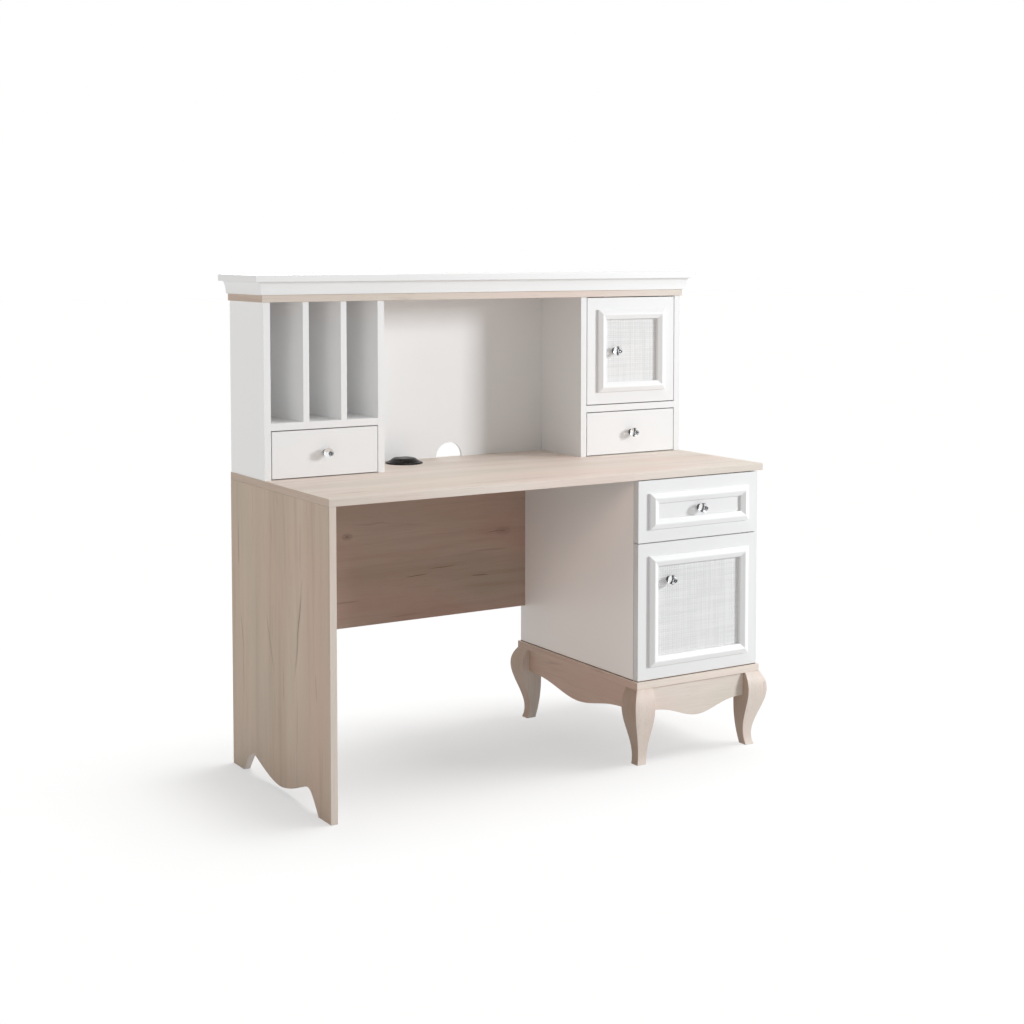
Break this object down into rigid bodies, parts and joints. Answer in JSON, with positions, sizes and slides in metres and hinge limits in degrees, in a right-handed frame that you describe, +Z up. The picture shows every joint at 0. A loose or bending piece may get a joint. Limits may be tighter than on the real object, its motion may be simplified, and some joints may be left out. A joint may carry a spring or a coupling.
{
  "type": "student desk with hutch",
  "caption": "Writing desk with a shaped side panel, a cabriole-legged pedestal with drawer and caned door, and a white hutch with paper slots, drawers and a caned cupboard.",
  "frame": {"origin": "on the floor, under the centre of the whole object's box", "axes": "+X along the desk to the user's right, -Y towards the user, +Z up"},
  "size_m": [1.324, 0.6105, 1.251],
  "materials": {
    "wood": "matt washed oak-look board",
    "white_lacquer": "satin white lacquer on board",
    "cane": "woven cane, painted white",
    "drawer_board": "white melamine board",
    "crystal": "clear acrylic ball on a chrome foot",
    "chrome": "polished chrome",
    "steel": "zinc-plated steel",
    "black_plastic": "satin black moulded plastic"
  },
  "bodies": {
    "desk_frame": {"apron_front": "wood", "apron_left": "wood", "apron_rear": "wood", "apron_right": "wood", "base_plate": "wood", "cable_ring": "black_plastic", "crown_front": "white_lacquer", "crown_left": "white_lacquer", "crown_rear_rail": "white_lacquer", "crown_right": "white_lacquer", "desk_top": "wood", "door_catches": "black_plastic", "door_pivots": "chrome", "drawer_channels": "steel", "hutch_back": "white_lacquer", "hutch_cap": "white_lacquer", "hutch_left_partition": "white_lacquer", "hutch_left_side": "white_lacquer", "hutch_right_partition": "white_lacquer", "hutch_right_side": "white_lacquer", "hutch_top_board": "wood", "left_side_panel": "wood", "left_tower_shelf": "white_lacquer", "leg_front_left": "wood", "leg_front_right": "wood", "leg_rear_left": "wood", "leg_rear_right": "wood", "modesty_panel": "wood", "pedestal_back": "white_lacquer", "pedestal_bottom": "white_lacquer", "pedestal_divider": "white_lacquer", "pedestal_left_side": "white_lacquer", "pedestal_right_side": "white_lacquer", "pedestal_top_rails": "white_lacquer", "right_tower_shelf": "white_lacquer", "slot_dividers": "white_lacquer"},
    "left_drawer": {"left_drawer_box": "drawer_board", "left_drawer_front": "white_lacquer", "left_drawer_knob": "crystal", "left_drawer_rails": "steel"},
    "right_drawer": {"right_drawer_box": "drawer_board", "right_drawer_front": "white_lacquer", "right_drawer_knob": "crystal", "right_drawer_rails": "steel"},
    "pedestal_drawer": {"pedestal_drawer_box": "drawer_board", "pedestal_drawer_front": "white_lacquer", "pedestal_drawer_knob": "crystal", "pedestal_drawer_moulding": "white_lacquer", "pedestal_drawer_rails": "steel"},
    "hutch_door": {"hutch_door_cane": "cane", "hutch_door_frame": "white_lacquer", "hutch_door_knob": "crystal", "hutch_door_moulding": "white_lacquer", "hutch_door_strike": "chrome"},
    "pedestal_door": {"pedestal_door_cane": "cane", "pedestal_door_frame": "white_lacquer", "pedestal_door_knob": "crystal", "pedestal_door_moulding": "white_lacquer", "pedestal_door_strike": "chrome"},
    "cable_cap": {"cable_cap": "black_plastic"}
  },
  "joints": [
    {"name": "left_drawer_slide", "type": "slide", "parent": "desk_frame", "child": "left_drawer", "axis": [0, -1, 0], "range_m": [0, 0.12]},
    {"name": "right_drawer_slide", "type": "slide", "parent": "desk_frame", "child": "right_drawer", "axis": [0, -1, 0], "range_m": [0, 0.12]},
    {"name": "pedestal_drawer_slide", "type": "slide", "parent": "desk_frame", "child": "pedestal_drawer", "axis": [0, -1, 0], "range_m": [0, 0.35]},
    {"name": "hutch_door_hinge", "type": "hinge", "parent": "desk_frame", "child": "hutch_door", "pos_m": [0.6065, 0.09275, 1.037], "axis": [0, 0, 1], "range_deg": [0, 100]},
    {"name": "pedestal_door_hinge", "type": "hinge", "parent": "desk_frame", "child": "pedestal_door", "pos_m": [0.609, -0.26125, 0.3936], "axis": [0, 0, 1], "range_deg": [0, 100]},
    {"name": "cable_cap_turn", "type": "hinge", "parent": "desk_frame", "child": "cable_cap", "pos_m": [-0.172, 0.22675, 0.754], "axis": [0, 0, 1], "continuous": true}
  ]
}
